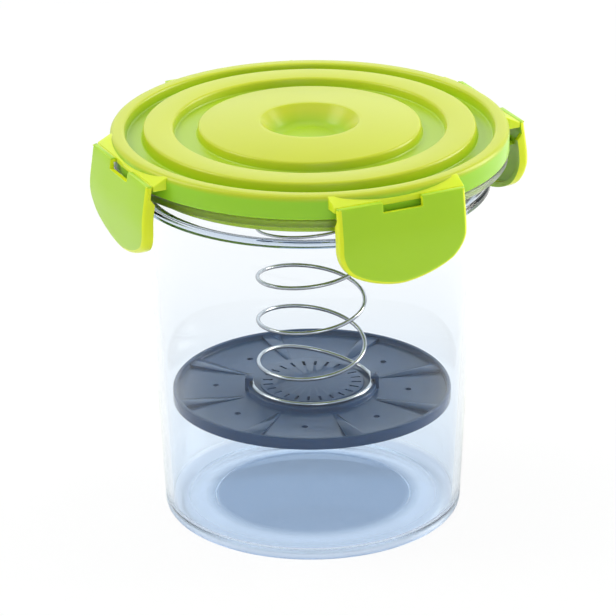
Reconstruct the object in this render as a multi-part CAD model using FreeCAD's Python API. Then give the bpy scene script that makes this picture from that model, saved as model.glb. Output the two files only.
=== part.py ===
import FreeCAD, Part
import math
import os

# Snap-lid canister with a press plate that hangs from the lid on a coil spring.
# Millimetres, +Z up, origin at the centre of the foot, on the surface it stands on.
# The four locking wings point along +X, +Y, -X and -Y.

os.makedirs("parts", exist_ok=True)

# Canister
body_foot_radius = 60.7
body_shoulder_radius = 67.9
body_wall = 2.4
floor_thickness = 2.6
foot_recess = 1.6
foot_ring_width = 6.7
foot_round = 3.5
floor_round = 3.0
punt_radius = 40.0
punt_depth = 0.6
shoulder_z = 140.4
bead_step = 0.6
bead_height = 2.4
neck_step = 4.3
neck_wall = 2.4
neck_height = 16.6
flange_width = 7.4
flange_thickness = 2.8
mouth_above_flange = 2.2

# Lid
lid_overhang = 0.4
lid_wall = 1.8
lid_rim_width = 5.8
skirt_gap = 0.6
groove_width = 7.6
groove_depth = 4.4
annulus_width = 11.8
annulus_rise = 0.6
recess_width = 10.2
recess_depth = 4.0
dome_edge_rise = 0.8
dome_rise = 1.5
dimple_lip_radius = 21.5
dimple_lip_width = 1.6
dimple_floor_radius = 13.0
dimple_depth = 7.2
dimple_round = 5.0
wall_lean = 0.6
rim_round = 1.8
edge_round = 1.2
plug_wall = 1.8
plug_depth = 12.3
plug_clearance = 0.4
seal_thickness = 1.8
seal_width = 3.8
seal_side_gap = 0.3
seal_wall_depth = 2.2

# Locking wings and their hinges
wing_width = 55.0
wing_drop = 35.4
wing_wall = 2.0
wing_rim_depth = 4.4
wing_thin_drop = 5.4
wing_thin_round = 1.0
wing_rim_round = 3.0
wing_lean = 2.4
wing_bend_drop = 16.4
wing_bend_round = 6.0
wing_tip_return = 2.2
wing_crown_radius = 37.5
wing_corner_round = 14.0
knuckle_radius = 1.1
hinge_reach = 1.9
hinge_below_rim = 4.2
hinge_gap = 0.3
ledge_thickness = 2.3
ledge_step = 0.3
ledge_flat_width = 5.0
ledge_overhang = 0.4
ledge_round = 0.4
slot_width = 17.0
slot_drop = 4.2
hook_width = 36.0
hook_clearance = 0.9
hook_below_flange = 1.8
hook_thickness = 2.2
hook_round = 0.4

# Spring: height climbed by each open turn, the flat ring at each end, and how far
# the lowest coil leans up on one side
wire_diameter = 1.7
coil_radius = 21.8
coil_height = 19.2
end_ring_radius = 24.6
ring_turns = 0.545
ramp_turns = 0.144
radius_ramp_turns = 0.3
spring_start_angle = -12.5
coil_lean = 4.0
coil_lean_angle = 90.5
coil_lean_turns = 0.4
wire_clearance = 0.1
points_per_turn = 12

# Press plate and the clips that hold the end rings of the spring
plate_side_gap = 3.7
plate_thickness = 2.0
plate_floor_z = 50.8
plate_lip_width = 1.8
plate_lip_rise = 2.4
plate_lip_drop = 0.4
wedge_count = 8
wedge_rise = 1.4
wedge_start_radius = 29.0
wedge_start_width = 2.0
wedge_end_width = 8.0
wedge_angle = -7.0
drain_radius = 1.3
drain_circle_radius = 39.6
drain_angle = 15.5
slit_count = 24
slit_width = 1.1
slit_inner_radius = 16.2
slit_outer_radius = 20.2
hub_radius = 26.4
hub_rise = 2.2
hub_disc_radius = 21.4
hub_disc_rise = 0.8
clip_count = 2
clip_width = 5.0
clip_wall = 1.8
clip_hook = 1.6
clip_lip = 1.3
clip_angle = -24.5
seat_rib_count = 8
seat_rib_width = 1.8
seat_drop = 7.4

# Levels and radii that follow from the sizes above
foot_recess_radius = body_foot_radius - foot_ring_width
neck_radius = body_shoulder_radius + neck_step
bead_radius = neck_radius + bead_step
flange_radius = neck_radius + flange_width
mouth_z = shoulder_z + neck_height
flange_top_z = mouth_z - mouth_above_flange
flange_z = flange_top_z - flange_thickness
neck_bore_radius = neck_radius - neck_wall
plug_radius = neck_bore_radius - plug_clearance
groove_under_z = mouth_z + seal_thickness
groove_z = groove_under_z + lid_wall
lid_radius = flange_radius + lid_overhang
lid_rim_z = groove_z + groove_depth
skirt_z = flange_top_z + skirt_gap
rim_inner_radius = lid_radius - lid_rim_width
annulus_radius = rim_inner_radius - groove_width
annulus_z = lid_rim_z + annulus_rise
recess_radius = annulus_radius - annulus_width
dome_radius = recess_radius - recess_width
dome_edge_z = lid_rim_z + dome_edge_rise
recess_z = dome_edge_z - recess_depth
dimple_lip_z = dome_edge_z + dome_rise
dimple_z = dimple_lip_z - dimple_depth
hinge_radius = lid_radius + hinge_reach
hinge_z = lid_rim_z - hinge_below_rim
hinge_top_z = hinge_z + knuckle_radius
ledge_radius = hinge_radius - knuckle_radius - hinge_gap
ledge_flat_radius = lid_radius - ledge_flat_width
wire_radius = wire_diameter / 2
seat_z = dome_edge_z - lid_wall - seat_drop
hub_z = plate_floor_z + hub_rise
spring_bottom_z = hub_z + wire_radius + wire_clearance
spring_top_z = seat_z - wire_radius - wire_clearance
body_slope = (body_shoulder_radius - body_foot_radius) / shoulder_z
plate_radius = body_foot_radius + body_slope * plate_floor_z - body_wall - plate_side_gap


def wall_radius(z):
    """Outer radius of the drafted canister wall at height z."""
    return body_foot_radius + body_slope * z


def corner_arc(before, corner, after, radius):
    """Ends and middle of the arc that rounds one corner of a profile."""
    to_before = (before - corner).normalize()
    to_after = (after - corner).normalize()
    half_angle = to_before.getAngle(to_after) / 2
    reach = radius / math.tan(half_angle)
    bisector = (to_before + to_after).normalize()
    centre = corner + bisector * (radius / math.sin(half_angle))
    start = corner + to_before * reach
    end = corner + to_after * reach
    return start, centre - bisector * radius, end


def rounded_face(corners):
    """Face in the XZ plane from (x, z, rounding radius) corners, in order."""
    points = [FreeCAD.Vector(x, 0, z) for x, z, _ in corners]
    edges = []
    ends = []
    for i, (_, _, radius) in enumerate(corners):
        before = points[i - 1]
        after = points[(i + 1) % len(points)]
        if radius > 0:
            start, middle, end = corner_arc(before, points[i], after, radius)
            edges.append(Part.Arc(start, middle, end).toShape())
        else:
            start = end = points[i]
            edges.append(None)
        ends.append((start, end))
    wire_edges = []
    for i, arc in enumerate(edges):
        if arc is not None:
            wire_edges.append(arc)
        leave = ends[i][1]
        arrive = ends[(i + 1) % len(ends)][0]
        if leave.distanceToPoint(arrive) > 1e-6:
            wire_edges.append(Part.LineSegment(leave, arrive).toShape())
    return Part.Face(Part.Wire(Part.__sortEdges__(wire_edges)))


def turned(corners):
    """Solid of revolution about Z from a rounded profile of (r, z, rounding)."""
    axis = FreeCAD.Vector(0, 0, 1)
    return rounded_face(corners).revolve(FreeCAD.Vector(0, 0, 0), axis, 360)


def turned_by(shape, angle):
    """Copy of a shape turned about Z by an angle in degrees."""
    copy = shape.copy()
    copy.rotate(FreeCAD.Vector(0, 0, 0), FreeCAD.Vector(0, 0, 1), angle)
    return copy


def block(x_range, y_range, z_range):
    """Box between two limits along each axis."""
    corner = FreeCAD.Vector(x_range[0], y_range[0], z_range[0])
    size_x = x_range[1] - x_range[0]
    size_y = y_range[1] - y_range[0]
    size_z = z_range[1] - z_range[0]
    return Part.makeBox(size_x, size_y, size_z, corner)


def around(shape, count, first_angle=0.0):
    """Copies of a shape spread evenly about Z."""
    return [turned_by(shape, first_angle + 360 * i / count) for i in range(count)]


def make_canister():
    floor_z = foot_recess + floor_thickness
    inner_shoulder_z = shoulder_z + body_wall
    inner_shoulder_radius = body_shoulder_radius - body_wall
    bead_top_z = shoulder_z + bead_height
    return turned([
        (0, foot_recess + punt_depth, 0),
        (punt_radius, foot_recess + punt_depth, 0),
        (punt_radius + punt_depth, foot_recess, 0),
        (foot_recess_radius, foot_recess, 0),
        (foot_recess_radius + foot_recess / 2, 0, 0),
        (body_foot_radius, 0, foot_round),
        (body_shoulder_radius, shoulder_z, 0),
        (bead_radius, shoulder_z, 0),
        (bead_radius, bead_top_z, 0),
        (neck_radius, bead_top_z + bead_step, 0),
        (neck_radius, flange_z, 0),
        (flange_radius, flange_z, 0),
        (flange_radius, flange_top_z, 0),
        (neck_radius, flange_top_z, 0),
        (neck_radius, mouth_z, 0),
        (neck_bore_radius, mouth_z, 0),
        (neck_bore_radius, inner_shoulder_z, 0),
        (inner_shoulder_radius, inner_shoulder_z - body_wall / 2, 0),
        (wall_radius(floor_z) - body_wall, floor_z, floor_round),
        (0, floor_z, 0),
    ])


def lid_shell():
    rim_under_z = lid_rim_z - lid_wall
    seal_outer_radius = plug_radius + seal_width + 2 * seal_side_gap
    seal_wall_z = groove_under_z - seal_wall_depth
    plug_z = groove_under_z - plug_depth
    dimple_top_radius = dimple_lip_radius - dimple_lip_width
    return turned([
        (0, dimple_z, 0),
        (dimple_floor_radius, dimple_z, dimple_round),
        (dimple_top_radius, dimple_lip_z, dimple_lip_width / 2),
        (dimple_lip_radius, dimple_lip_z, dimple_lip_width / 2),
        (dome_radius, dome_edge_z, edge_round),
        (dome_radius + wall_lean, recess_z, 0),
        (recess_radius - wall_lean, recess_z, 0),
        (recess_radius, annulus_z, edge_round),
        (annulus_radius, annulus_z, edge_round),
        (annulus_radius + wall_lean, groove_z, 0),
        (rim_inner_radius - wall_lean, groove_z, 0),
        (rim_inner_radius, lid_rim_z, edge_round),
        (lid_radius, lid_rim_z, rim_round),
        (lid_radius, skirt_z, 0),
        (lid_radius - lid_wall, skirt_z, 0),
        (lid_radius - lid_wall, rim_under_z, 0),
        (rim_inner_radius + lid_wall, rim_under_z, 0),
        (rim_inner_radius + lid_wall, seal_wall_z, 0),
        (seal_outer_radius, seal_wall_z, 0),
        (seal_outer_radius, groove_under_z, 0),
        (plug_radius, groove_under_z, 0),
        (plug_radius, plug_z, 0),
        (plug_radius - plug_wall, plug_z, 0),
        (plug_radius - plug_wall, groove_under_z, 0),
        (annulus_radius - lid_wall + wall_lean, groove_under_z, 0),
        (annulus_radius - lid_wall, annulus_z - lid_wall, 0),
        (recess_radius + lid_wall, annulus_z - lid_wall, 0),
        (recess_radius + lid_wall - wall_lean, recess_z - lid_wall, 0),
        (dome_radius - lid_wall + wall_lean, recess_z - lid_wall, 0),
        (dome_radius - lid_wall, dome_edge_z - lid_wall, 0),
        (dimple_lip_radius, dimple_lip_z - lid_wall, 0),
        (dimple_floor_radius + lid_wall / 2, dimple_z - lid_wall, 0),
        (0, dimple_z - lid_wall, 0),
    ])


def hinge_ledge():
    """Straight-edged ledge on the lid rim that carries one wing, pointing along +X."""
    half_width = wing_width / 2 + ledge_overhang
    under_z = hinge_top_z - ledge_thickness
    flush_z = lid_rim_z - ledge_step
    profile = rounded_face([
        (0, flush_z, 0),
        (ledge_flat_radius, flush_z, 0),
        (ledge_radius, hinge_top_z, ledge_round),
        (ledge_radius, under_z, ledge_round),
        (0, under_z, 0),
    ])
    ledge = profile.extrude(FreeCAD.Vector(0, 2 * half_width, 0))
    ledge.translate(FreeCAD.Vector(0, -half_width, 0))
    inside = Part.makeCylinder(lid_radius - lid_wall / 2, lid_rim_z)
    return ledge.cut(inside)


def clip_post(face_z, root, sign):
    """Hooked post that holds an end ring of the spring against face_z, pointing along +X.

    root is how deep the post starts inside that face. sign is +1 for a post that stands
    up on the plate and -1 for one that hangs from the lid.
    """
    inner = end_ring_radius + wire_radius + 2 * wire_clearance
    hook_z = face_z + sign * (wire_diameter + 3 * wire_clearance)
    end_z = hook_z + sign * clip_lip
    half = clip_width / 2
    post = block((inner, inner + clip_wall), (-half, half), sorted((face_z - sign * root, end_z)))
    hook = block((inner - clip_hook, inner + clip_wall), (-half, half), sorted((hook_z, end_z)))
    return post.fuse(hook)


def make_lid():
    seat_inner_radius = coil_radius + wire_radius / 2
    seat_outer_radius = end_ring_radius + wire_radius + 2 * wire_clearance + clip_wall
    top_z = dimple_lip_z - lid_wall / 2
    rib_half = seat_rib_width / 2
    rib = block((seat_inner_radius, seat_outer_radius), (-rib_half, rib_half), (seat_z, top_z))
    post = clip_post(seat_z, top_z - seat_z, -1)
    pieces = around(hinge_ledge(), 4)
    pieces += around(rib, seat_rib_count, clip_angle)
    pieces += around(post, clip_count, clip_angle)
    return lid_shell().fuse(pieces).removeSplitter()


def make_seal_ring():
    inner = plug_radius + seal_side_gap
    outer = inner + seal_width
    return turned([
        (inner, mouth_z, 0),
        (outer, mouth_z, 0),
        (outer, groove_under_z, 0),
        (inner, groove_under_z, 0),
    ])


def wing_section(inset):
    """Side section of a wing as a rounded face: its outer skin moved in by inset."""
    outer_r = hinge_radius + knuckle_radius
    inner_r = hinge_radius - knuckle_radius
    slope = wing_lean / wing_bend_drop
    bend_r = outer_r + wing_lean
    bend_z = hinge_top_z - wing_bend_drop
    tip_z = hinge_top_z - wing_drop
    tip_r = bend_r - wing_tip_return
    rim_drop = wing_thin_drop + wing_rim_depth
    back = wing_rim_depth + inset
    return rounded_face([
        (outer_r - inset, hinge_top_z + inset, 0),
        (bend_r - inset, bend_z, wing_bend_round),
        (tip_r - inset, tip_z - inset, 0),
        (tip_r - back, tip_z - inset, 0),
        (bend_r - back, bend_z, wing_bend_round),
        (outer_r + slope * rim_drop - back, hinge_top_z - rim_drop, wing_rim_round),
        (inner_r + slope * wing_thin_drop - inset, hinge_top_z - wing_thin_drop, wing_thin_round),
        (inner_r - inset, hinge_z, 0),
        (inner_r - inset, hinge_top_z + inset, 0),
    ])


def wing_block(inset):
    """Solid between a wing's section and its crowned outline, both moved in by inset."""
    half = wing_width / 2 - inset
    tip_z = hinge_top_z - wing_drop + inset
    top_z = hinge_top_z + wing_drop
    crown_radius = wing_crown_radius - inset
    crown_z = tip_z + crown_radius
    x_range = (lid_radius / 2, lid_radius * 2)
    section = wing_section(inset).extrude(FreeCAD.Vector(0, wing_width * 2, 0))
    section.translate(FreeCAD.Vector(0, -wing_width, 0))
    crown = Part.makeCylinder(crown_radius, x_range[1] - x_range[0],
                              FreeCAD.Vector(x_range[0], 0, crown_z), FreeCAD.Vector(1, 0, 0))
    lower = crown.common(block(x_range, (-half, half), (tip_z, crown_z)))
    upper = block(x_range, (-half, half), (crown_z, top_z))
    outline = lower.fuse(upper).removeSplitter()
    corner_z = crown_z - math.sqrt(crown_radius ** 2 - half ** 2)
    corners = [edge for edge in outline.Edges
               if abs(edge.CenterOfMass.z - corner_z) < 1e-3 and edge.BoundBox.XLength > lid_radius]
    return section.common(outline.makeFillet(wing_corner_round - inset, corners))


def wing_hook():
    """Bar on the inside of a wing that catches under the canister flange."""
    tip_r = flange_radius + hook_clearance
    top_z = flange_z - hook_below_flange
    root_r = hinge_radius + 0.75 * wing_lean
    profile = rounded_face([
        (tip_r, top_z, hook_round),
        (root_r, top_z + hook_thickness / 2, 0),
        (root_r, top_z - hook_thickness, 0),
        (tip_r, top_z - hook_thickness / 2, hook_round),
    ])
    bar = profile.extrude(FreeCAD.Vector(0, hook_width, 0))
    bar.translate(FreeCAD.Vector(0, -hook_width / 2, 0))
    return bar


def make_wing():
    shell = wing_block(0).cut(wing_block(wing_wall))
    axis_start = FreeCAD.Vector(hinge_radius, -wing_width / 2, hinge_z)
    knuckle = Part.makeCylinder(knuckle_radius, wing_width, axis_start, FreeCAD.Vector(0, 1, 0))
    above_z = hinge_top_z + wing_drop
    above_axis = block((0, lid_radius * 2), (-wing_width, wing_width), (hinge_z, above_z))
    slot_half = slot_width / 2
    slot = block((0, lid_radius * 2), (-slot_half, slot_half), (hinge_top_z - slot_drop, above_z))
    wing = shell.cut(above_axis).fuse([knuckle, wing_hook()])
    return wing.cut(slot).removeSplitter()


def ramp(t):
    """Turns climbed at full pitch after t turns, easing in over ramp_turns."""
    if t <= 0:
        return 0.0
    if t >= ramp_turns:
        return t - ramp_turns / 2
    s = t / ramp_turns
    return ramp_turns * (s ** 3 - s ** 4 / 2)


def ease(t):
    """Smooth step from 0 to 1 as t goes from 0 to 1."""
    t = min(max(t, 0.0), 1.0)
    return t * t * (3 - 2 * t)


def spring_point(turn, active_turns):
    """Centre of the wire at a number of turns above the start of the open coils."""
    if turn < active_turns / 2:
        climb = ramp(turn)
    else:
        climb = active_turns - ramp_turns - ramp(active_turns - turn)
    z = spring_bottom_z + coil_height * climb
    from_end = min(turn, active_turns - turn)
    radius = end_ring_radius + (coil_radius - end_ring_radius) * ease(from_end / radius_ramp_turns)
    angle = math.radians(spring_start_angle + 360 * turn)
    above = min(max(1 - turn / active_turns, 0.0), 1.0)
    lean = coil_lean * ease(turn / coil_lean_turns) * above ** 3
    z += lean * math.cos(angle - math.radians(coil_lean_angle))
    return FreeCAD.Vector(radius * math.cos(angle), radius * math.sin(angle), z)


def make_spring():
    active_turns = (spring_top_z - spring_bottom_z) / coil_height + ramp_turns
    total_turns = active_turns + 2 * ring_turns
    count = int(total_turns * points_per_turn)
    points = []
    for i in range(count + 1):
        points.append(spring_point(i * total_turns / count - ring_turns, active_turns))
    curve = Part.BSplineCurve()
    curve.interpolate(points)
    path = Part.Wire(curve.toShape())
    start_direction = curve.tangent(curve.FirstParameter)[0]
    profile = Part.Wire(Part.Circle(points[0], start_direction, wire_radius).toShape())
    return path.makePipeShell([profile], True, True)


def wedge():
    """Ramp on the plate that widens and rises towards the rim, pointing along +X."""
    outer_r = plate_radius - plate_lip_width / 2
    low_z = plate_floor_z - plate_thickness / 2
    start_half = wedge_start_width / 2
    end_half = wedge_end_width / 2
    low_end = plate_floor_z + wedge_rise
    a = FreeCAD.Vector(wedge_start_radius, -start_half, low_z)
    b = FreeCAD.Vector(wedge_start_radius, start_half, low_z)
    c = FreeCAD.Vector(outer_r, end_half, low_z)
    d = FreeCAD.Vector(outer_r, -end_half, low_z)
    a_top = FreeCAD.Vector(wedge_start_radius, -start_half, plate_floor_z)
    b_top = FreeCAD.Vector(wedge_start_radius, start_half, plate_floor_z)
    c_top = FreeCAD.Vector(outer_r, end_half, low_end)
    d_top = FreeCAD.Vector(outer_r, -end_half, low_end)
    loops = [(a, b, c, d), (a_top, b_top, c_top, d_top), (a, b, b_top, a_top),
             (b, c, c_top, b_top), (c, d, d_top, c_top), (d, a, a_top, d_top)]
    faces = [Part.Face(Part.makePolygon(list(loop) + [loop[0]])) for loop in loops]
    solid = Part.Solid(Part.Shell(faces))
    solid.fix(1e-6, 1e-6, 1e-6)
    inside = Part.makeCylinder(outer_r, plate_radius, FreeCAD.Vector(0, 0, 0))
    return solid.common(inside)


def make_press_plate():
    under_z = plate_floor_z - plate_thickness
    lip_z = plate_floor_z + plate_lip_rise
    lip_radius = plate_radius - plate_lip_width
    hub_under_z = hub_z - plate_thickness
    hub_inner_radius = hub_radius - plate_thickness
    disc_z = hub_z + hub_disc_rise
    disc = turned([
        (0, hub_under_z, 0),
        (hub_inner_radius, hub_under_z, 0),
        (hub_inner_radius, under_z, 0),
        (lip_radius - plate_lip_drop, under_z, 0),
        (lip_radius, under_z - plate_lip_drop, 0),
        (plate_radius, under_z - plate_lip_drop, 0),
        (plate_radius, lip_z, 0),
        (lip_radius, lip_z, 0),
        (lip_radius, plate_floor_z, 0),
        (hub_radius, plate_floor_z, 0),
        (hub_radius, hub_z, 0),
        (hub_disc_radius, hub_z, 0),
        (hub_disc_radius, disc_z, 0),
        (0, disc_z, 0),
    ])
    post = clip_post(hub_z, hub_rise + plate_thickness / 2, 1)
    pieces = around(wedge(), wedge_count, wedge_angle) + around(post, clip_count, clip_angle)
    plate = disc.fuse(pieces)
    hole = Part.makeCylinder(drain_radius, plate_radius, FreeCAD.Vector(drain_circle_radius, 0, 0))
    slit = block((slit_inner_radius, slit_outer_radius), (-slit_width / 2, slit_width / 2),
                 (under_z - plate_thickness, disc_z + plate_thickness))
    holes = around(hole, wedge_count, drain_angle) + around(slit, slit_count)
    return plate.cut(holes).removeSplitter()


def make_all():
    wing = make_wing()
    nodes = {
        "canister": make_canister(),
        "lid": make_lid(),
        "seal_ring": make_seal_ring(),
        "spring": make_spring(),
        "press_plate": make_press_plate(),
    }
    for name, angle in (("right", 0), ("back", 90), ("left", 180), ("front", 270)):
        nodes["wing_" + name] = turned_by(wing, angle)
    return nodes


for node, shape in make_all().items():
    shape.exportStep("parts/" + node + ".step")
    print(node, "solids", len(shape.Solids), "valid", shape.isValid(), "volume", round(shape.Volume))
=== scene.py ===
import bpy
import math
from mathutils import Matrix, Vector


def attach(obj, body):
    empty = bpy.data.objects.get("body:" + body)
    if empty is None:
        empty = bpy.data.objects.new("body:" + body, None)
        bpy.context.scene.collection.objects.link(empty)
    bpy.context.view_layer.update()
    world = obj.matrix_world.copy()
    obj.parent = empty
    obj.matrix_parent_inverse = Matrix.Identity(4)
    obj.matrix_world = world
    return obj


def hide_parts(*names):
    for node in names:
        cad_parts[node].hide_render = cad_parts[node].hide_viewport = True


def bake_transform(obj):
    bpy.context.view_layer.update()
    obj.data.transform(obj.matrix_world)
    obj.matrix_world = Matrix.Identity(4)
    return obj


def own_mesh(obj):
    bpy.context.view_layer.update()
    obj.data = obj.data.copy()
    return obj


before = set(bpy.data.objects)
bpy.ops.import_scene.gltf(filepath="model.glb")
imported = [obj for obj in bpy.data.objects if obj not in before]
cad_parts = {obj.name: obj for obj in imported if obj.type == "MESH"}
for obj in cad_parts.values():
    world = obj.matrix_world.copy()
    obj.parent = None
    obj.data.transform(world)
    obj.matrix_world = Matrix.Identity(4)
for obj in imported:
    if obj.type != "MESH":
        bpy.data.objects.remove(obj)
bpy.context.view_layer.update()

MM = 0.001
FULL_TURN = 2 * math.pi
WINGS = {"right": 0.0, "back": math.pi / 2, "left": math.pi, "front": 3 * math.pi / 2}

# Points closer than this, in metres, are the same point
SAME_PLACE = 1e-6

# Sizes in millimetres, as the object is built

body_foot_radius = 60.7
body_shoulder_radius = 67.9
body_wall = 2.4
floor_thickness = 2.6
floor_round = 3.0
foot_recess = 1.6
foot_recess_radius = 54.0
foot_ring_radius = 54.8
foot_round = 3.5
punt_radius = 40.0
punt_depth = 0.6
shoulder_z = 140.4
bead_radius = 72.8
bead_top_z = 142.8
neck_foot_z = 143.4
neck_radius = 72.2
neck_bore_radius = 69.8
flange_radius = 79.6
flange_z = 152.0
flange_top_z = 154.8
mouth_z = 157.0

lid_radius = 80.0
lid_wall = 1.8
skirt_z = 155.4
lid_rim_z = 165.0
rim_inner_radius = 74.2
rim_round = 1.8
edge_round = 1.2
groove_z = 160.6
annulus_radius = 66.6
annulus_z = 165.6
recess_radius = 54.8
recess_z = 161.8
dome_radius = 44.6
dome_edge_z = 165.8
dimple_lip_radius = 21.5
dimple_lip_width = 1.6
dimple_lip_z = 167.3
dimple_floor_radius = 13.0
dimple_round = 5.0
dimple_z = 160.1
wall_lean = 0.6
plug_radius = 69.4
plug_z = 146.5
seal_outer_radius = 73.8
seal_wall_z = 156.6

wing_width = 55.0
wing_drop = 35.4
wing_wall = 2.0
wing_rim_depth = 4.4
wing_edge_round = 2.0
wing_lean = 2.4
wing_bend_drop = 16.4
bend_reach = 5.0
wing_tip_return = 2.2
wing_crown_radius = 37.5
wing_corner_round = 14.0
wing_thin_drop = 5.4
hinge_radius = 81.9
hinge_z = 160.8
knuckle_radius = 1.1
knuckle_round = 0.6
hinge_top_z = hinge_z + knuckle_radius
ledge_radius = 80.5
ledge_thickness = 2.3
ledge_flat_radius = 75.0
ledge_root_radius = 70.0
ledge_step = 0.3
ledge_overhang = 0.4
ledge_tip_round = 0.4
ledge_edge_round = 0.8
ledge_bite = 1.0
slot_width = 17.0
slot_drop = 4.2
hook_width = 36.0
hook_clearance = 0.9
hook_root_radius = hinge_radius + 1.4
hook_low_z = 148.6
hook_top_z = 150.4
web_thickness = 0.5
web_length = 3.0
web_slot_gap = 0.3
web_side_gap = 0.6
web_setback = 0.5
web_depth = 0.45

wire_radius = 0.85
wire_clearance = 0.1
coil_radius = 21.8
end_ring_radius = 24.6
coil_height = 19.2
ring_turns = 0.545
ramp_turns = 0.144
radius_ramp_turns = 0.3
spring_start_angle = -12.5
coil_lean = 4.0
coil_lean_angle = 90.5
coil_lean_turns = 0.4
spring_bottom_z = 53.95
spring_top_z = 155.65
seat_z = 156.6
seat_rib_count = 8
seat_rib_width = 1.8
seat_rib_inner_radius = 22.3
seat_rib_outer_radius = 27.4
clip_count = 2
clip_angle = -24.5
clip_width = 5.0
clip_wall = 1.8
clip_reach = 1.6
clip_bite = 1.0
clip_lip = 1.3
plate_clip_root = 3.2

plate_radius = 57.2
plate_thickness = 2.0
plate_floor_z = 50.8
plate_under_z = plate_floor_z - plate_thickness
plate_lip_z = 53.2
plate_lip_width = 1.8
plate_lip_drop = 0.4
wedge_count = 8
wedge_rise = 1.4
wedge_bite = 0.8
wedge_start_radius = 29.0
wedge_start_width = 2.0
wedge_end_width = 8.0
wedge_angle = -7.0
hub_radius = 26.4
hub_z = 53.0
hub_disc_radius = 21.4
hub_disc_z = 53.8
drain_radius = 1.3
drain_circle_radius = 39.6
drain_angle = 15.5
slit_count = 24
slit_width = 1.1
slit_inner_radius = 16.2
slit_outer_radius = 20.2


# Modelling helpers

def deselect():
    """Leave edit mode and clear the selection."""
    if bpy.context.object and bpy.context.object.mode != "OBJECT":
        bpy.ops.object.mode_set(mode="OBJECT")
    bpy.ops.object.select_all(action="DESELECT")


def activate(piece):
    deselect()
    piece.select_set(True)
    bpy.context.view_layer.objects.active = piece


def settle(piece):
    """Put the piece's place into its mesh, with its object at the origin."""
    activate(piece)
    bpy.ops.object.transform_apply(location=True, rotation=True, scale=True)
    return piece


def edit(piece):
    activate(piece)
    bpy.ops.object.mode_set(mode="EDIT")
    bpy.ops.mesh.select_mode(type="VERT")
    bpy.ops.mesh.select_all(action="SELECT")


def leave_edit():
    bpy.ops.object.mode_set(mode="OBJECT")


def pick(piece, kind, test):
    """Select the piece's vertices, edges or faces whose middle passes the test, in edit mode."""
    bpy.ops.mesh.select_mode(type={"vertices": "VERT", "edges": "EDGE", "polygons": "FACE"}[kind])
    bpy.ops.mesh.select_all(action="DESELECT")
    leave_edit()
    mesh = piece.data
    for part in getattr(mesh, kind):
        if kind == "vertices":
            middle = part.co
        else:
            corners = [mesh.vertices[i].co for i in part.vertices]
            middle = sum(corners, Vector()) / len(corners)
        part.select = bool(test(middle))
    bpy.ops.object.mode_set(mode="EDIT")


def finish_with(piece, **modifiers):
    """Add modifiers by type with their settings, and apply them in order."""
    for kind, settings in modifiers.items():
        modifier = piece.modifiers.new(kind.lower(), kind)
        for key, value in settings.items():
            setattr(modifier, key, value)
    activate(piece)
    for modifier in list(piece.modifiers):
        bpy.ops.object.modifier_apply(modifier=modifier.name)
    return piece


def outward(piece):
    """Merge doubles and turn the faces outwards."""
    edit(piece)
    bpy.ops.mesh.remove_doubles(threshold=0.005 * MM)
    bpy.ops.mesh.normals_make_consistent(inside=False)
    leave_edit()


def smooth(piece, angle=35):
    activate(piece)
    bpy.ops.object.shade_smooth_by_angle(angle=math.radians(angle))
    return piece


def joined(name, pieces):
    deselect()
    for piece in pieces:
        piece.select_set(True)
    bpy.context.view_layer.objects.active = pieces[0]
    if len(pieces) > 1:
        bpy.ops.object.join()
    pieces[0].name = name
    return pieces[0]


def copied(piece, name, angle):
    """Copy with its own mesh, turned about Z."""
    copy = piece.copy()
    copy.data = piece.data.copy()
    copy.name = name
    bpy.context.collection.objects.link(copy)
    copy.data.transform(Matrix.Rotation(angle, 4, "Z"))
    return copy


def copies_around(piece, name, count, first_angle):
    """One piece out of copies spread evenly about Z."""
    step = FULL_TURN / count
    ring = [copied(piece, name, math.radians(first_angle) + i * step) for i in range(count)]
    bpy.data.objects.remove(piece)
    return joined(name, ring)


def drawn(name, corners, place, arc=4, closed=True):
    """Wire through corners (u, v, rounding) in millimetres, left in edit mode.

    place turns (u, v) into a point, and arc is how many segments round a corner.
    """
    points = [Vector(place(u, v)) * MM for u, v, _ in corners]
    deselect()
    bpy.ops.mesh.primitive_plane_add(size=MM, location=points[0])
    piece = bpy.context.object
    piece.name = name
    settle(piece)
    edit(piece)
    bpy.ops.mesh.merge(type="CENTER")
    for before, here in zip(points, points[1:]):
        bpy.ops.mesh.extrude_region_move(TRANSFORM_OT_translate={"value": here - before})
    if closed:
        ends = (points[0], points[-1])
        pick(piece, "vertices", lambda p: min((p - e).length for e in ends) < SAME_PLACE)
        bpy.ops.mesh.edge_face_add()
    for i, (_, _, rounding) in enumerate(corners):
        if rounding <= 0:
            continue
        corner = points[i]
        to_before = (points[i - 1] - corner).normalized()
        to_after = (points[(i + 1) % len(points)] - corner).normalized()
        reach = rounding * MM / math.tan(to_before.angle(to_after) / 2)
        pick(piece, "vertices", lambda p: (p - corner).length < SAME_PLACE)
        bpy.ops.mesh.bevel(offset=reach, segments=arc, affect="VERTICES", clamp_overlap=False)
    bpy.ops.mesh.select_mode(type="VERT")
    bpy.ops.mesh.select_all(action="SELECT")
    return piece


def turned(name, corners, steps=192, arc=4):
    """Piece turned about Z from a profile of (radius, height, rounding) corners."""
    on_axis = corners[0][0] == 0 and corners[-1][0] == 0
    piece = drawn(name, corners, lambda r, z: (r, 0, z), arc, closed=not on_axis)
    bpy.ops.mesh.spin(steps=steps, angle=FULL_TURN, center=(0, 0, 0), axis=(0, 0, 1))
    leave_edit()
    outward(piece)
    return smooth(piece)


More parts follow.
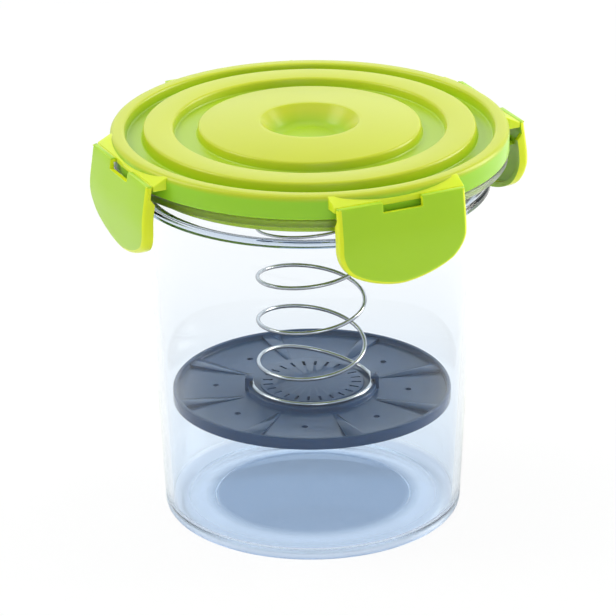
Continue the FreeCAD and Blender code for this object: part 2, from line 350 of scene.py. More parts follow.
def bar(name, x_range, y_range, z_range, edge=0.3):
    """Moulded bar between limits in millimetres, with its edges eased."""
    deselect()
    spans = (x_range, y_range, z_range)
    middle = [sum(span) / 2 * MM for span in spans]
    bpy.ops.mesh.primitive_cube_add(size=1, location=middle)
    piece = bpy.context.object
    piece.name = name
    piece.scale = [(span[1] - span[0]) * MM for span in spans]
    settle(piece)
    edit(piece)
    bpy.ops.mesh.bevel(offset=edge * MM, segments=2, affect="EDGES")
    leave_edit()
    return smooth(piece)


# Materials

def new_material(name):
    material = bpy.data.materials.new(name)
    material.use_nodes = True
    nodes = material.node_tree.nodes
    shader = nodes["Principled BSDF"]
    return material, nodes, material.node_tree.links, shader


def moulded_skin_group():
    """Fine moulding texture: a roughness that wanders, a colour mask and a height."""
    group = bpy.data.node_groups.new("moulded_skin", "ShaderNodeTree")
    face = group.interface
    for name, value in (("Scale", 60.0), ("Roughness", 0.25), ("Wander", 0.06)):
        socket = face.new_socket(name, in_out="INPUT", socket_type="NodeSocketFloat")
        socket.default_value = value
    for name in ("Roughness", "Mask", "Height"):
        face.new_socket(name, in_out="OUTPUT", socket_type="NodeSocketFloat")
    nodes = group.nodes
    links = group.links
    inputs = nodes.new("NodeGroupInput")
    outputs = nodes.new("NodeGroupOutput")
    place = nodes.new("ShaderNodeTexCoord")
    broad = nodes.new("ShaderNodeTexNoise")
    broad.inputs["Detail"].default_value = 3.0
    fine = nodes.new("ShaderNodeTexNoise")
    fine.inputs["Detail"].default_value = 2.0
    finer = nodes.new("ShaderNodeMath")
    finer.operation = "MULTIPLY"
    finer.inputs[1].default_value = 14.0
    links.new(place.outputs["Object"], broad.inputs["Vector"])
    links.new(place.outputs["Object"], fine.inputs["Vector"])
    links.new(inputs.outputs["Scale"], broad.inputs["Scale"])
    links.new(inputs.outputs["Scale"], finer.inputs[0])
    links.new(finer.outputs[0], fine.inputs["Scale"])
    centred = nodes.new("ShaderNodeMath")
    centred.operation = "SUBTRACT"
    centred.inputs[1].default_value = 0.5
    links.new(broad.outputs["Fac"], centred.inputs[0])
    rough = nodes.new("ShaderNodeMath")
    rough.operation = "MULTIPLY_ADD"
    links.new(centred.outputs[0], rough.inputs[0])
    links.new(inputs.outputs["Wander"], rough.inputs[1])
    links.new(inputs.outputs["Roughness"], rough.inputs[2])
    links.new(rough.outputs[0], outputs.inputs["Roughness"])
    links.new(broad.outputs["Fac"], outputs.inputs["Mask"])
    links.new(fine.outputs["Fac"], outputs.inputs["Height"])
    return group


def use_skin(nodes, links, shader, scale, roughness, wander, bump):
    """Place the moulding texture in a material and wire its roughness, and a bump where asked."""
    skin = nodes.new("ShaderNodeGroup")
    skin.node_tree = skin_group
    skin.inputs["Scale"].default_value = scale
    skin.inputs["Roughness"].default_value = roughness
    skin.inputs["Wander"].default_value = wander
    links.new(skin.outputs["Roughness"], shader.inputs["Roughness"])
    if bump > 0:
        bumps = nodes.new("ShaderNodeBump")
        bumps.inputs["Strength"].default_value = bump
        bumps.inputs["Distance"].default_value = 0.05 * MM
        links.new(skin.outputs["Height"], bumps.inputs["Height"])
        links.new(bumps.outputs["Normal"], shader.inputs["Normal"])
    return skin


def mix_colours(nodes, links, factor, low, high):
    mix = nodes.new("ShaderNodeMix")
    mix.data_type = "RGBA"
    mix.inputs["A"].default_value = (*low, 1)
    mix.inputs["B"].default_value = (*high, 1)
    links.new(factor, mix.inputs["Factor"])
    return mix.outputs["Result"]


def height_ramp(nodes, links, none_z, full_z):
    """0 at one level of the piece and 1 at another, above or below it, in millimetres."""
    place = nodes.new("ShaderNodeTexCoord")
    split = nodes.new("ShaderNodeSeparateXYZ")
    span = nodes.new("ShaderNodeMapRange")
    span.inputs["From Min"].default_value = none_z * MM
    span.inputs["From Max"].default_value = full_z * MM
    links.new(place.outputs["Object"], split.inputs[0])
    links.new(split.outputs["Z"], span.inputs["Value"])
    return span.outputs["Result"]


def radius_mask(nodes, links, full_radius, none_radius):
    """1 at one radius about the upright axis and 0 at another, in millimetres."""
    place = nodes.new("ShaderNodeTexCoord")
    flat = nodes.new("ShaderNodeVectorMath")
    flat.operation = "MULTIPLY"
    flat.inputs[1].default_value = (1, 1, 0)
    length = nodes.new("ShaderNodeVectorMath")
    length.operation = "LENGTH"
    span = nodes.new("ShaderNodeMapRange")
    span.inputs["From Min"].default_value = none_radius * MM
    span.inputs["From Max"].default_value = full_radius * MM
    links.new(place.outputs["Object"], flat.inputs[0])
    links.new(flat.outputs[0], length.inputs[0])
    links.new(length.outputs["Value"], span.inputs["Value"])
    return span.outputs["Result"]


def multiplied(nodes, links, first, second):
    product = nodes.new("ShaderNodeMath")
    product.operation = "MULTIPLY"
    links.new(first, product.inputs[0])
    links.new(second, product.inputs[1])
    return product.outputs[0]


def tinted(nodes, links, factor, colour_socket, tint):
    """A colour socket mixed towards a fixed tint."""
    mix = nodes.new("ShaderNodeMix")
    mix.data_type = "RGBA"
    mix.inputs["B"].default_value = (*tint, 1)
    links.new(factor, mix.inputs["Factor"])
    links.new(colour_socket, mix.inputs["A"])
    return mix.outputs["Result"]


def lime_plastic(name, low, high, skirt, groove_shade):
    """Slightly translucent lime plastic, with greener painted shade on the skirt and in the
    grooves.
    """
    material, nodes, links, shader = new_material(name)
    skin = use_skin(nodes, links, shader, scale=40.0, roughness=0.30, wander=0.08, bump=0.15)
    colour = mix_colours(nodes, links, skin.outputs["Mask"], low, high)
    # Painted shade: the skirt below the rim turns greener, and so does everything sunk below the
    # rim inside it.
    below = height_ramp(nodes, links, lid_rim_z - 0.6, lid_rim_z - 2.6)
    within = radius_mask(nodes, links, lid_radius - 1.1, lid_radius - 0.4)
    outside = nodes.new("ShaderNodeMath")
    outside.operation = "SUBTRACT"
    outside.inputs[0].default_value = 1.0
    links.new(within, outside.inputs[1])
    skirt_shade_mask = multiplied(nodes, links, below, outside.outputs[0])
    deep_down = height_ramp(nodes, links, lid_rim_z + 0.2, groove_z + 0.8)
    groove_shade_mask = multiplied(nodes, links, deep_down, within)
    colour = tinted(nodes, links, groove_shade_mask, colour, groove_shade)
    links.new(tinted(nodes, links, skirt_shade_mask, colour, skirt), shader.inputs["Base Color"])
    shader.inputs["Subsurface Weight"].default_value = 0.25
    shader.inputs["Subsurface Radius"].default_value = (0.8, 1.0, 0.12)
    shader.inputs["Subsurface Scale"].default_value = 3 * MM
    shader.inputs["Specular IOR Level"].default_value = 0.35
    shader.inputs["IOR"].default_value = 1.45
    return material


def clear_plastic():
    """Clear moulded plastic, bluer towards the foot and lightly frosted at its foot and flange.

    The foot, the bead and the punt are painted darker: painted shade for how thick clear plastic
    looks from its edge. The bluer colour towards the foot is painted shade as well.
    """
    material, nodes, links, shader = new_material("clear_plastic")
    skin = use_skin(nodes, links, shader, scale=30.0, roughness=0.015, wander=0.02, bump=0)
    # Painted shade: bluer and darker towards the foot.
    ramp = height_ramp(nodes, links, 0.0, 120.0)
    tint = mix_colours(nodes, links, ramp, (0.79, 0.87, 0.96), (0.985, 0.995, 1.0))
    in_punt = radius_mask(nodes, links, punt_radius - 1.5, punt_radius + 5.0)
    in_floor = height_ramp(nodes, links, 6.0, 5.0)
    punt_shade = multiplied(nodes, links, in_punt, in_floor)
    foot_shade = height_ramp(nodes, links, 4.5, 2.0)
    over_bead = height_ramp(nodes, links, neck_foot_z + 0.6, neck_foot_z - 0.2)
    under_bead = height_ramp(nodes, links, shoulder_z - 0.6, shoulder_z)
    bead_shade = multiplied(nodes, links, over_bead, under_bead)
    # Painted shade: a darker foot, bead and punt.
    tint = tinted(nodes, links, foot_shade, tint, (0.52, 0.63, 0.79))
    tint = tinted(nodes, links, bead_shade, tint, (0.50, 0.60, 0.74))
    tint = tinted(nodes, links, punt_shade, tint, (0.27, 0.37, 0.52))
    links.new(tint, shader.inputs["Base Color"])
    low_wall = height_ramp(nodes, links, 11.0, 5.0)
    off_centre = radius_mask(nodes, links, 52.0, 46.0)
    at_foot = multiplied(nodes, links, low_wall, off_centre)
    from_flange = height_ramp(nodes, links, flange_z - 0.4, flange_z - 0.1)
    off_neck = radius_mask(nodes, links, neck_radius + 2.8, neck_radius + 0.8)
    at_flange = multiplied(nodes, links, from_flange, off_neck)
    frosting = nodes.new("ShaderNodeMath")
    frosting.operation = "ADD"
    links.new(at_foot, frosting.inputs[0])
    links.new(at_flange, frosting.inputs[1])
    rough = nodes.new("ShaderNodeMath")
    rough.operation = "MULTIPLY_ADD"
    rough.inputs[1].default_value = 0.28
    links.new(frosting.outputs[0], rough.inputs[0])
    links.new(skin.outputs["Roughness"], rough.inputs[2])
    links.new(rough.outputs[0], shader.inputs["Roughness"])
    shader.inputs["Transmission Weight"].default_value = 1.0
    shader.inputs["IOR"].default_value = 1.27
    lamps_through = nodes.new("ShaderNodeBsdfTransparent")
    lamps_through.inputs["Color"].default_value = (0.95, 0.97, 1.0, 1)
    path = nodes.new("ShaderNodeLightPath")
    pane = nodes.new("ShaderNodeMixShader")
    links.new(path.outputs["Is Shadow Ray"], pane.inputs[0])
    links.new(shader.outputs[0], pane.inputs[1])
    links.new(lamps_through.outputs[0], pane.inputs[2])
    links.new(pane.outputs[0], nodes["Material Output"].inputs["Surface"])
    return material


def slate_plastic():
    """Dark slate plate plastic with a soft sheen."""
    material, nodes, links, shader = new_material("slate_plastic")
    skin = use_skin(nodes, links, shader, scale=55.0, roughness=0.16, wander=0.06, bump=0)
    colour = mix_colours(nodes, links, skin.outputs["Mask"],
                         (0.024, 0.050, 0.108), (0.032, 0.062, 0.126))
    links.new(colour, shader.inputs["Base Color"])
    shader.inputs["Specular IOR Level"].default_value = 0.12
    return material


def spring_steel():
    """Bright drawn wire with a faint fine bump."""
    material, nodes, links, shader = new_material("spring_steel")
    skin = use_skin(nodes, links, shader, scale=120.0, roughness=0.18, wander=0.12, bump=0.2)
    colour = mix_colours(nodes, links, skin.outputs["Mask"], (0.38, 0.39, 0.41), (0.47, 0.48, 0.50))
    links.new(colour, shader.inputs["Base Color"])
    shader.inputs["Metallic"].default_value = 1.0
    return material


def silicone():
    material, nodes, links, shader = new_material("silicone")
    skin = use_skin(nodes, links, shader, scale=50.0, roughness=0.45, wander=0.1, bump=0.2)
    colour = mix_colours(nodes, links, skin.outputs["Mask"], (0.80, 0.83, 0.80), (0.87, 0.89, 0.87))
    links.new(colour, shader.inputs["Base Color"])
    shader.inputs["Subsurface Weight"].default_value = 0.4
    shader.inputs["Subsurface Scale"].default_value = 2 * MM
    return material


def dress(piece, material, body=None, replaces=None):
    """Give a piece its material in its first slot, hang it on its body, and hide the node it stands
    for.
    """
    if piece.data.materials:
        piece.data.materials[0] = material
    else:
        piece.data.materials.append(material)
    if body:
        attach(piece, body)
    if replaces:
        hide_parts(replaces)
    return piece


# The clear canister

def make_canister():
    punt_z = foot_recess + punt_depth
    floor_z = foot_recess + floor_thickness
    slope = (body_shoulder_radius - body_foot_radius) / shoulder_z
    floor_corner = body_foot_radius + slope * floor_z - body_wall
    inner_shoulder_z = shoulder_z + body_wall
    return turned("canister_clear", [
        (0, punt_z, 0),
        (punt_radius, punt_z, 0.3),
        (punt_radius + punt_depth, foot_recess, 0.3),
        (foot_recess_radius, foot_recess, 0.5),
        (foot_ring_radius, 0, 0.4),
        (body_foot_radius, 0, foot_round),
        (body_shoulder_radius, shoulder_z, 0.8),
        (bead_radius, shoulder_z, 0.8),
        (bead_radius, bead_top_z, 0.5),
        (neck_radius, neck_foot_z, 0.5),
        (neck_radius, flange_z, 1.0),
        (flange_radius, flange_z, 0.6),
        (flange_radius, flange_top_z, 0.6),
        (neck_radius, flange_top_z, 0.6),
        (neck_radius, mouth_z, 0.4),
        (neck_bore_radius, mouth_z, 0.4),
        (neck_bore_radius, inner_shoulder_z, 1.2),
        (body_shoulder_radius - body_wall, inner_shoulder_z - body_wall / 2, 1.2),
        (floor_corner, floor_z, floor_round),
        (0, floor_z, 0),
    ])


# The lid and what is moulded with it

def make_lid_shell():
    under = groove_z - lid_wall
    return turned("lid_shell", [
        (0, dimple_z, 0),
        (dimple_floor_radius, dimple_z, dimple_round),
        (dimple_lip_radius - dimple_lip_width, dimple_lip_z, 0.8),
        (dimple_lip_radius, dimple_lip_z, 0.8),
        (dome_radius, dome_edge_z, edge_round),
        (dome_radius + wall_lean, recess_z, 0.8),
        (recess_radius - wall_lean, recess_z, 0.8),
        (recess_radius, annulus_z, edge_round),
        (annulus_radius, annulus_z, edge_round),
        (annulus_radius + wall_lean, groove_z, 0.8),
        (rim_inner_radius - wall_lean, groove_z, 0.8),
        (rim_inner_radius, lid_rim_z, edge_round),
        (lid_radius, lid_rim_z, rim_round),
        (lid_radius, skirt_z, 0.5),
        (lid_radius - lid_wall, skirt_z, 0.5),
        (lid_radius - lid_wall, lid_rim_z - lid_wall, 0.6),
        (rim_inner_radius + lid_wall, lid_rim_z - lid_wall, 0),
        (rim_inner_radius + lid_wall, seal_wall_z, 0.4),
        (seal_outer_radius, seal_wall_z, 0.4),
        (seal_outer_radius, under, 0),
        (plug_radius, under, 0),
        (plug_radius, plug_z, 0.6),
        (plug_radius - lid_wall, plug_z, 0.6),
        (plug_radius - lid_wall, under, 0),
        (annulus_radius - lid_wall + wall_lean, under, 0),
        (annulus_radius - lid_wall, annulus_z - lid_wall, 0),
        (recess_radius + lid_wall, annulus_z - lid_wall, 0),
        (recess_radius + lid_wall - wall_lean, recess_z - lid_wall, 0),
        (dome_radius - lid_wall + wall_lean, recess_z - lid_wall, 0),
        (dome_radius - lid_wall, dome_edge_z - lid_wall, 0),
        (dimple_lip_radius, dimple_lip_z - lid_wall, 0),
        (dimple_floor_radius + lid_wall / 2, dimple_z - lid_wall, 0),
        (0, dimple_z - lid_wall, 0),
    ])


def make_ledge():
    """Ledge from the rim out to one hinge line, pointing along +X."""
    half = wing_width / 2 + ledge_overhang
    flat_z = lid_rim_z - ledge_step
    under_z = hinge_top_z - ledge_thickness
    ledge = drawn("lid_ledge", [
        (ledge_root_radius, flat_z, 0),
        (ledge_flat_radius, flat_z, 0),
        (ledge_radius, hinge_top_z, ledge_tip_round),
        (ledge_radius, under_z, ledge_tip_round),
        (ledge_root_radius, under_z, 0),
    ], lambda r, z: (r, -half, z), arc=3)
    bpy.ops.mesh.edge_face_add()
    bpy.ops.mesh.extrude_region_move(TRANSFORM_OT_translate={"value": (0, 2 * half * MM, 0)})
    leave_edit()
    outward(ledge)
    finish_with(ledge, BEVEL={"width": ledge_edge_round * MM, "segments": 3,
                              "limit_method": "ANGLE", "angle_limit": math.radians(60)})
    deselect()
    bpy.ops.mesh.primitive_cylinder_add(vertices=192, radius=(lid_radius - ledge_bite) * MM,
                                        depth=50 * MM, location=(0, 0, hinge_top_z * MM))
    bore = bpy.context.object
    finish_with(ledge, BOOLEAN={"object": bore, "operation": "DIFFERENCE", "solver": "EXACT"})
    bpy.data.objects.remove(bore)
    return smooth(ledge)


def clip_pieces(face_z, root, sign):
    """Hooked post for an end ring of the spring, standing up (sign 1) or hanging (-1) at face_z.

    It points along +X, and its root is how far it runs into what carries it.
    """
    inner = end_ring_radius + wire_radius + 2 * wire_clearance
    hook_z = face_z + sign * (2 * wire_radius + 3 * wire_clearance)
    end_z = hook_z + sign * clip_lip
    across = (-clip_width / 2, clip_width / 2)
    post = bar("post", (inner, inner + clip_wall), across, sorted((face_z - sign * root, end_z)))
    hook = bar("hook", (inner - clip_reach, inner + clip_bite), across, sorted((hook_z, end_z)))
    return joined("clip", [post, hook])


def make_lid_fittings():
    """Hinge ledges, and the ribs and hooked posts that hold the spring's top ring."""
    top_z = dimple_lip_z - lid_wall / 2
    ledges = copies_around(make_ledge(), "lid_ledges", 4, 0)
    rib = bar("rib", (seat_rib_inner_radius, seat_rib_outer_radius),
              (-seat_rib_width / 2, seat_rib_width / 2), (seat_z, top_z))
    ribs = copies_around(rib, "lid_seat_ribs", seat_rib_count, clip_angle)
    clips = copies_around(clip_pieces(seat_z, top_z - seat_z, -1), "lid_spring_clips", clip_count,
                          clip_angle)
    return [ledges, ribs, clips]


# The locking wings

def lean_at(z):
    """How far the wing's skin stands out from the hinge line at height z, in millimetres."""
    past_bend = hinge_top_z - z - wing_bend_drop
    slope_above = wing_lean / wing_bend_drop
    slope_below = -wing_tip_return / (wing_drop - wing_bend_drop)
    if past_bend < -bend_reach:
        return wing_lean + slope_above * past_bend
    if past_bend > bend_reach:
        return wing_lean + slope_below * past_bend
    into = past_bend + bend_reach
    turn_in = (slope_below - slope_above) * into ** 2 / (4 * bend_reach)
    return wing_lean + slope_above * past_bend + turn_in


def make_wing():
    """One wing pointing along +X: a crowned pan with its rim turned in, a hook bar and a slot."""
    half = wing_width / 2
    tip_z = hinge_top_z - wing_drop
    crown_z = tip_z + wing_crown_radius
    bend_z = hinge_top_z - wing_bend_drop
    face_x = hinge_radius + knuckle_radius
    corner_y = half - wing_corner_round
    corner_z = crown_z - math.sqrt((wing_crown_radius - wing_corner_round) ** 2 - corner_y ** 2)
    meet_angle = math.atan2(corner_y, crown_z - corner_z)
    crown_half = wing_crown_radius * math.tan(meet_angle / 2)
    side_z = corner_z - wing_corner_round * math.tan((math.pi / 2 - meet_angle) / 2)
    wing = drawn("wing", [
        (-half, hinge_top_z, 0),
        (-half, side_z, wing_corner_round),
        (-crown_half, tip_z, wing_crown_radius),
        (crown_half, tip_z, wing_crown_radius),
        (half, side_z, wing_corner_round),
        (half, hinge_top_z, 0),
    ], lambda y, z: (face_x, y, z), arc=14)
    bpy.ops.mesh.remove_doubles(threshold=0.1 * MM)
    bpy.ops.mesh.edge_face_add()
    bpy.ops.mesh.extrude_region_move(TRANSFORM_OT_translate={"value": (-wing_rim_depth * MM, 0, 0)})
    back_x = (face_x - wing_rim_depth) * MM
    pick(wing, "polygons", lambda p: abs(p.x - back_x) < SAME_PLACE)
    bpy.ops.mesh.delete(type="ONLY_FACE")
    below_top = (hinge_top_z - 0.1) * MM
    pick(wing, "edges", lambda p: abs(p.x - face_x * MM) < SAME_PLACE and p.z < below_top)
    bpy.ops.mesh.bevel(offset=wing_edge_round * MM, segments=6, affect="EDGES")
    bpy.ops.mesh.select_mode(type="VERT")
    drops = (slot_drop, wing_thin_drop, 8.0, 12.9, 28.9)
    from_bend = (5.0, 3.6, 2.2, 0.8, -0.8, -2.2, -3.6, -5.0)
    for level in [hinge_top_z - drop for drop in drops] + [bend_z + step for step in from_bend]:
        bpy.ops.mesh.select_all(action="SELECT")
        bpy.ops.mesh.bisect(plane_co=(0, 0, level * MM), plane_no=(0, 0, 1))
    for side in (-1, 1):
        bpy.ops.mesh.select_all(action="SELECT")
        bpy.ops.mesh.bisect(plane_co=(0, side * slot_width / 2 * MM, 0), plane_no=(0, 1, 0))
    slot_z = (hinge_top_z - slot_drop) * MM
    pick(wing, "polygons", lambda p: p.z > slot_z and abs(p.y) < slot_width / 2 * MM)
    bpy.ops.mesh.delete(type="FACE")
    shallow = (wing_rim_depth - 2 * knuckle_radius) * MM
    thin_z = (hinge_top_z - wing_thin_drop) * MM
    pick(wing, "vertices", lambda p: p.z > thin_z - SAME_PLACE and abs(p.x - back_x) < SAME_PLACE)
    bpy.ops.transform.translate(value=(shallow, 0, 0))
    leave_edit()
    lean_piece(wing, tip_z, hinge_top_z)
    outward(wing)
    finish_with(wing, SOLIDIFY={"thickness": wing_wall * MM, "offset": -1})
    edit(wing)
    pick(wing, "polygons", lambda p: p.z > (hinge_top_z - 0.01) * MM)
    bpy.ops.mesh.region_to_loop()
    bpy.ops.mesh.bevel(offset=knuckle_round * MM, segments=3, affect="EDGES")
    leave_edit()
    finish_with(wing, BEVEL={"width": 0.25 * MM, "segments": 2, "limit_method": "ANGLE",
                             "angle_limit": math.radians(60)})
    outward(wing)
    wing.data.materials.append(lime_painted_shade)
    wing.data.materials.append(lime_painted_highlight)
    # Faces round the turned-in rim take the second material, a painted highlight.
    for face in wing.data.polygons:
        on_edge = abs(face.normal.x) < 0.955 and face.center.z < hinge_z * MM
        face.material_index = 1 if on_edge else 0
    hook = bar("hook", (flange_radius + hook_clearance, hook_root_radius),
               (-hook_width / 2, hook_width / 2), (hook_low_z, hook_top_z), 0.4)
    hook.data.materials.append(lime_painted_shade)
    return smooth(joined("wing", [smooth(wing), hook]), 40)


def lean_piece(piece, low_z, high_z):
    """Lean a wing's skin out to its bend and back to its tip with a lattice."""
    rows = 29
    deselect()
    bpy.ops.object.add(type="LATTICE", location=(hinge_radius * MM, 0, (low_z + high_z) / 2 * MM))
    cage = bpy.context.object
    cage.scale = (0.02, 0.08, (high_z - low_z) * MM)
    lattice = cage.data
    lattice.points_u = 2
    lattice.points_v = 2
    lattice.points_w = rows
    lattice.interpolation_type_w = "KEY_LINEAR"
    for point in lattice.points:
        z = low_z + (point.co.z + 0.5) * (high_z - low_z)
        point.co_deform.x += lean_at(z) * MM / cage.scale[0]
    bpy.context.view_layer.update()
    finish_with(piece, LATTICE={"object": cage})
    bpy.data.objects.remove(cage)


def make_hinge_web(side):
    """Thin living-hinge web from the ledge to the wing's top edge, on one side of the slot."""
    inner_y = side * (slot_width / 2 + web_slot_gap)
    outer_y = side * (wing_width / 2 - web_side_gap)
    width = abs(outer_y - inner_y)
    middle = (hinge_radius - web_setback, (inner_y + outer_y) / 2, hinge_top_z - web_depth)
    deselect()
    bpy.ops.mesh.primitive_grid_add(x_subdivisions=12, y_subdivisions=4, size=1,
                                    location=[c * MM for c in middle])
    web = bpy.context.object
    web.scale = (web_length * MM, width * MM, 1)
    settle(web)
    finish_with(web, SOLIDIFY={"thickness": web_thickness * MM, "offset": 0})
    outward(web)
    return smooth(web)


# The spring

def climb(t):
    """Turns climbed at full height after t turns, easing in over ramp_turns."""
    if t <= 0:
        return 0.0
    if t >= ramp_turns:
        return t - ramp_turns / 2
    s = t / ramp_turns
    return ramp_turns * (s ** 3 - s ** 4 / 2)


def ease(t):
    """Smooth step from 0 at t = 0 to 1 at t = 1."""
    t = min(max(t, 0.0), 1.0)
    return t * t * (3 - 2 * t)


def make_spring():
    """Coil spring with an open helix between two closed, wider end rings; its lowest coil leans."""
    active = (spring_top_z - spring_bottom_z) / coil_height + ramp_turns
    total = active + 2 * ring_turns
    points_per_turn = 48
    count = int(total * points_per_turn)
    deselect()
    bpy.ops.curve.primitive_nurbs_path_add()
    coil = bpy.context.object
    coil.location = (0, 0, 0)
    curve = coil.data
    curve.splines.clear()
    spline = curve.splines.new("POLY")
    spline.points.add(count)
    for i, point in enumerate(spline.points):
        turn = i * total / count - ring_turns
        if turn < active / 2:
            height = climb(turn)
        else:
            height = active - ramp_turns - climb(active - turn)
        from_end = min(turn, active - turn)
        shrink = ease(from_end / radius_ramp_turns)
        radius = end_ring_radius + (coil_radius - end_ring_radius) * shrink
        angle = math.radians(spring_start_angle + 360 * turn)
        above = min(max(1 - turn / active, 0.0), 1.0)
        lean = coil_lean * ease(turn / coil_lean_turns) * above ** 3
        z = spring_bottom_z + coil_height * height
        z += lean * math.cos(angle - math.radians(coil_lean_angle))
        point.co = (radius * math.cos(angle) * MM, radius * math.sin(angle) * MM, z * MM, 1)
    curve.dimensions = "3D"
    curve.bevel_depth = wire_radius * MM
    curve.bevel_resolution = 4
    curve.use_fill_caps = True
    activate(coil)
    bpy.ops.object.convert(target="MESH")
    coil = bpy.context.object
    coil.name = "coil_spring"
    settle(coil)
    outward(coil)
    return smooth(coil, 60)


# The press plate

def make_plate_disc():
    lip = plate_radius - plate_lip_width
    lip_under_z = plate_under_z - plate_lip_drop
    hollow_radius = hub_radius - plate_thickness
    hollow_z = hub_z - plate_thickness
    disc = turned("press_disc", [
        (0, hollow_z, 0),
        (hollow_radius, hollow_z, 0),
        (hollow_radius, plate_under_z, 0.3),
        (lip - plate_lip_drop, plate_under_z, 0.3),
        (lip, lip_under_z, 0),
        (plate_radius, lip_under_z, 0.5),
        (plate_radius, plate_lip_z, 0.6),
        (lip, plate_lip_z, 0.6),
        (lip, plate_floor_z, 0.8),
        (hub_radius, plate_floor_z, 0.3),
        (hub_radius, hub_z, 0.5),
        (hub_disc_radius, hub_z, 0.2),
        (hub_disc_radius, hub_disc_z, 0.3),
        (0, hub_disc_z, 0),
    ], steps=144, arc=3)
    slit = bar("slit", (slit_inner_radius, slit_outer_radius), (-slit_width / 2, slit_width / 2),
               (plate_under_z - 2, hub_disc_z + 2), 0.2)
    slits = copies_around(slit, "slits", slit_count, 0)
    deselect()
    bpy.ops.mesh.primitive_cylinder_add(vertices=24, radius=drain_radius * MM, depth=10 * MM,
                                        location=(drain_circle_radius * MM, 0, plate_floor_z * MM))
    drain = settle(bpy.context.object)
    drains = copies_around(drain, "drains", wedge_count, drain_angle)
    cutter = joined("cutter", [slits, drains])
    finish_with(disc, BOOLEAN={"object": cutter, "operation": "DIFFERENCE", "solver": "EXACT"})
    bpy.data.objects.remove(cutter)
    return smooth(disc, 30)


def make_plate_wedges():
    """Ramps that widen and rise from the middle of the plate to its lip."""
    outer = plate_radius - plate_lip_width / 2
    wedge = bar("wedge", (wedge_start_radius, outer), (-wedge_end_width / 2, wedge_end_width / 2),
                (plate_floor_z - wedge_bite, plate_floor_z + wedge_rise), 0.3)
    edit(wedge)
    middle_x = (wedge_start_radius + 2.0) * MM
    pick(wedge, "vertices", lambda p: p.x < middle_x)
    bpy.ops.transform.resize(value=(1, wedge_start_width / wedge_end_width, 1),
                             center_override=(0, 0, 0))
    pick(wedge, "vertices", lambda p: p.x < middle_x and p.z > plate_floor_z * MM)
    bpy.ops.transform.translate(value=(0, 0, -(wedge_rise - 0.05) * MM))
    leave_edit()
    return copies_around(smooth(wedge), "plate_wedges", wedge_count, wedge_angle)


# Build and dress every piece, and hang all but the hinge webs on their bodies

skin_group = moulded_skin_group()
# The lid's lime plastic. Its skirt and groove colours are painted shade.
lime = lime_plastic("lime_lid", (0.495, 0.545, 0.017), (0.53, 0.58, 0.022),
                    skirt=(0.31, 0.60, 0.022), groove_shade=(0.37, 0.55, 0.012))
# A lighter, yellower copy of the lid's plastic: painted light on the ledges, hinge webs, ribs and
# clips.
lime_painted_light = lime_plastic("lime_painted_light", (0.64, 0.76, 0.018), (0.68, 0.80, 0.024),
                          skirt=(0.66, 0.78, 0.021), groove_shade=(0.66, 0.78, 0.021))
# A greener copy of the lid's plastic: painted shade on the wings and their hook bars.
lime_painted_shade = lime_plastic("lime_painted_shade", (0.37, 0.61, 0.016), (0.41, 0.65, 0.022),
                         skirt=(0.39, 0.63, 0.019), groove_shade=(0.39, 0.63, 0.019))
# A yellower copy of the lid's plastic: a painted highlight on the wings' turned-in rims, where
# light shows through.
lime_painted_highlight = lime_plastic("lime_painted_highlight", (0.70, 0.78, 0.012), (0.74, 0.82, 0.018),
                         skirt=(0.72, 0.80, 0.015), groove_shade=(0.72, 0.80, 0.015))
clear = clear_plastic()
slate = slate_plastic()
steel = spring_steel()
rubber = silicone()

dress(make_canister(), clear, "canister_body", "canister")

dress(make_lid_shell(), lime, "lid_body", "lid")
for fitting in make_lid_fittings():
    dress(fitting, lime_painted_light, "lid_body", "lid")

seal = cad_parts["seal_ring"]
for slot in seal.material_slots:
    slot.material = rubber

wing_model = make_wing()
web_models = [make_hinge_web(side) for side in (-1, 1)]
for direction, angle in WINGS.items():
    wing = copied(wing_model, "wing_" + direction + "_shell", angle)
    dress(wing, lime_painted_shade, "wing_" + direction + "_body", "wing_" + direction)
    for i, web_model in enumerate(web_models):
        web = copied(web_model, "hinge_web_" + direction + "_" + str(i + 1), angle)
        dress(web, lime_painted_light)
        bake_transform(web)
for model in [wing_model] + web_models:
    bpy.data.objects.remove(model)

spring = dress(make_spring(), steel, "lid_body", "spring")
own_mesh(spring)

dress(make_plate_disc(), slate, "plate_body", "press_plate")
dress(make_plate_wedges(), slate, "plate_body", "press_plate")
plate_clips = copies_around(clip_pieces(hub_z, plate_clip_root, 1), "plate_spring_clips",
                            clip_count, clip_angle)
dress(plate_clips, slate, "plate_body", "press_plate")


# Floor, light and camera

def make_floor():
    """White floor that catches the shadow; nine tenths of what the camera sees of it is plain."""
    plain_share = 0.9
    deselect()
    bpy.ops.mesh.primitive_plane_add(size=6.0, location=(0, 0, -0.0002))
    floor = settle(bpy.context.object)
    floor.name = "studio_floor"
    material, nodes, links, shader = new_material("studio_floor")
    shader.inputs["Base Color"].default_value = (0.93, 0.93, 0.93, 1)
    shader.inputs["Roughness"].default_value = 0.6
    shader.inputs["Specular IOR Level"].default_value = 0.1
    white = nodes.new("ShaderNodeEmission")
    white.inputs["Color"].default_value = (1, 1, 1, 1)
    path = nodes.new("ShaderNodeLightPath")
    seen = nodes.new("ShaderNodeMath")
    seen.operation = "ADD"
    seen.use_clamp = True
    links.new(path.outputs["Is Camera Ray"], seen.inputs[0])
    links.new(path.outputs["Is Transmission Ray"], seen.inputs[1])
    share = nodes.new("ShaderNodeMath")
    share.operation = "MULTIPLY"
    share.inputs[1].default_value = plain_share
    links.new(seen.outputs[0], share.inputs[0])
    mix = nodes.new("ShaderNodeMixShader")
    links.new(share.outputs[0], mix.inputs[0])
    links.new(shader.outputs[0], mix.inputs[1])
    links.new(white.outputs[0], mix.inputs[2])
    links.new(mix.outputs[0], nodes["Material Output"].inputs["Surface"])
    floor.data.materials.append(material)


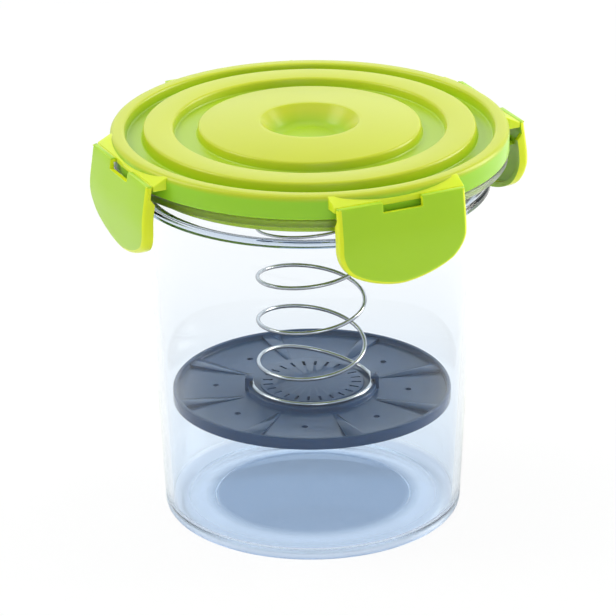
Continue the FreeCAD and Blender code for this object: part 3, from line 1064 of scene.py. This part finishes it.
def make_lamp(name, place, size, power, colour=(1, 1, 1), target=(0, 0, 0.09)):
    light = bpy.data.lights.new(name, "AREA")
    light.shape = "RECTANGLE"
    light.size, light.size_y = size
    light.energy = power
    light.color = colour
    lamp = bpy.data.objects.new(name, light)
    bpy.context.collection.objects.link(lamp)
    lamp.location = place
    aim = Vector(target) - Vector(place)
    lamp.rotation_euler = aim.to_track_quat("-Z", "Y").to_euler()
    return lamp


def camera_frame(x, y, z):
    """Point from the photograph's frame (x right, y away) in the object's frame."""
    return Matrix.Rotation(math.radians(-25.3), 3, "Z") @ Vector((x, y, z))


def make_lights():
    """Sky that the camera sees as plain white and all else as dimmer and cooler, and five lamps."""
    world = bpy.data.worlds.new("studio")
    bpy.context.scene.world = world
    world.use_nodes = True
    nodes = world.node_tree.nodes
    links = world.node_tree.links
    background = nodes["Background"]
    path = nodes.new("ShaderNodeLightPath")
    sky = mix_colours(nodes, links, path.outputs["Is Camera Ray"], (0.84, 0.94, 1.0), (1, 1, 1))
    links.new(sky, background.inputs["Color"])
    seen = nodes.new("ShaderNodeMath")
    seen.operation = "ADD"
    seen.use_clamp = True
    links.new(path.outputs["Is Camera Ray"], seen.inputs[0])
    links.new(path.outputs["Is Transmission Ray"], seen.inputs[1])
    mirrored = nodes.new("ShaderNodeMath")
    mirrored.operation = "MULTIPLY_ADD"
    mirrored.inputs[1].default_value = 0.4
    mirrored.inputs[2].default_value = 0.5
    links.new(path.outputs["Is Glossy Ray"], mirrored.inputs[0])
    strength = nodes.new("ShaderNodeMix")
    strength.inputs["B"].default_value = 1.0
    links.new(seen.outputs[0], strength.inputs["Factor"])
    links.new(mirrored.outputs[0], strength.inputs["A"])
    links.new(strength.outputs["Result"], background.inputs["Strength"])
    make_lamp("key", camera_frame(-0.9, 0.1, 1.0), (0.7, 0.7), 8.0, (1, 0.95, 0.86))
    make_lamp("right", camera_frame(0.95, 0.35, 0.5), (0.5, 0.8), 9.0, (1, 0.96, 0.88))
    make_lamp("top", camera_frame(0.0, 0.1, 1.2), (0.8, 0.8), 3.0, (1, 0.97, 0.92))
    make_lamp("front", camera_frame(0.3, -1.3, 0.5), (0.6, 0.6), 2.4)
    make_lamp("back", camera_frame(0.0, 1.5, 0.75), (2.0, 0.9), 3.6)


def make_camera():
    """Camera at the photograph's place: far off, 22.7 degrees above the level."""
    distance = 1.709
    elevation = 0.39601
    yaw, pitch, roll = -0.0008, 0.0003, -0.0092
    focus_z = 0.085
    lens_pixels = 4191.3
    frame_pixels = 616
    sensor = 36.0
    place = Vector((0, -distance * math.cos(elevation), focus_z + distance * math.sin(elevation)))
    forward = Vector((0, math.cos(elevation), -math.sin(elevation)))
    right = Vector((1, 0, 0))
    up = right.cross(forward)
    turned_forward = forward * math.cos(yaw) + right * math.sin(yaw)
    turned_right = right * math.cos(yaw) - forward * math.sin(yaw)
    aim = turned_forward * math.cos(pitch) + up * math.sin(pitch)
    over = up * math.cos(pitch) - turned_forward * math.sin(pitch)
    right = turned_right * math.cos(roll) + over * math.sin(roll)
    up = over * math.cos(roll) - turned_right * math.sin(roll)
    data = bpy.data.cameras.new("camera")
    data.sensor_width = sensor
    data.lens = lens_pixels * sensor / frame_pixels
    data.clip_end = 20
    camera = bpy.data.objects.new("camera", data)
    bpy.context.collection.objects.link(camera)
    axes = [camera_frame(*v) for v in (right, up, -aim)]
    matrix = Matrix((axes[0], axes[1], axes[2])).transposed().to_4x4()
    matrix.translation = camera_frame(*place)
    camera.matrix_world = matrix
    bpy.context.scene.camera = camera


make_floor()
make_lights()
make_camera()
bpy.context.scene.view_settings.view_transform = "Standard"

deselect()
